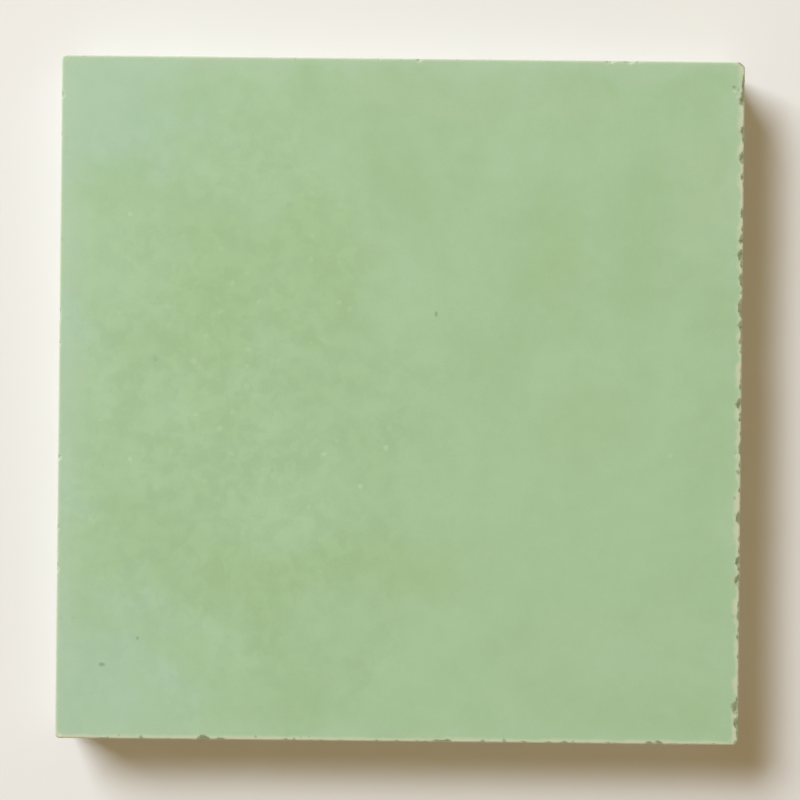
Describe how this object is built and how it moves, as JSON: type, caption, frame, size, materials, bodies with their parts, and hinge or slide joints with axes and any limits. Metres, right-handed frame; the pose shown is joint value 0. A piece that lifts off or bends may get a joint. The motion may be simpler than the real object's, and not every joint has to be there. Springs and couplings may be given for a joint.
{
  "type": "square wall tile",
  "caption": "Flat square pressed-cement tile with a matt pigmented face, crisp nibbled arrises and a plain back that is bedded on a wall or floor.",
  "frame": {"origin": "middle of the back face", "axes": "+Z out of the coloured face, +X and +Y along the sides, to the right and to the top of the picture"},
  "size_m": [0.2, 0.2, 0.016],
  "materials": {
    "cement": "matt pigmented cement"
  },
  "bodies": {
    "root": {"tile": "cement"}
  },
  "joints": []
}
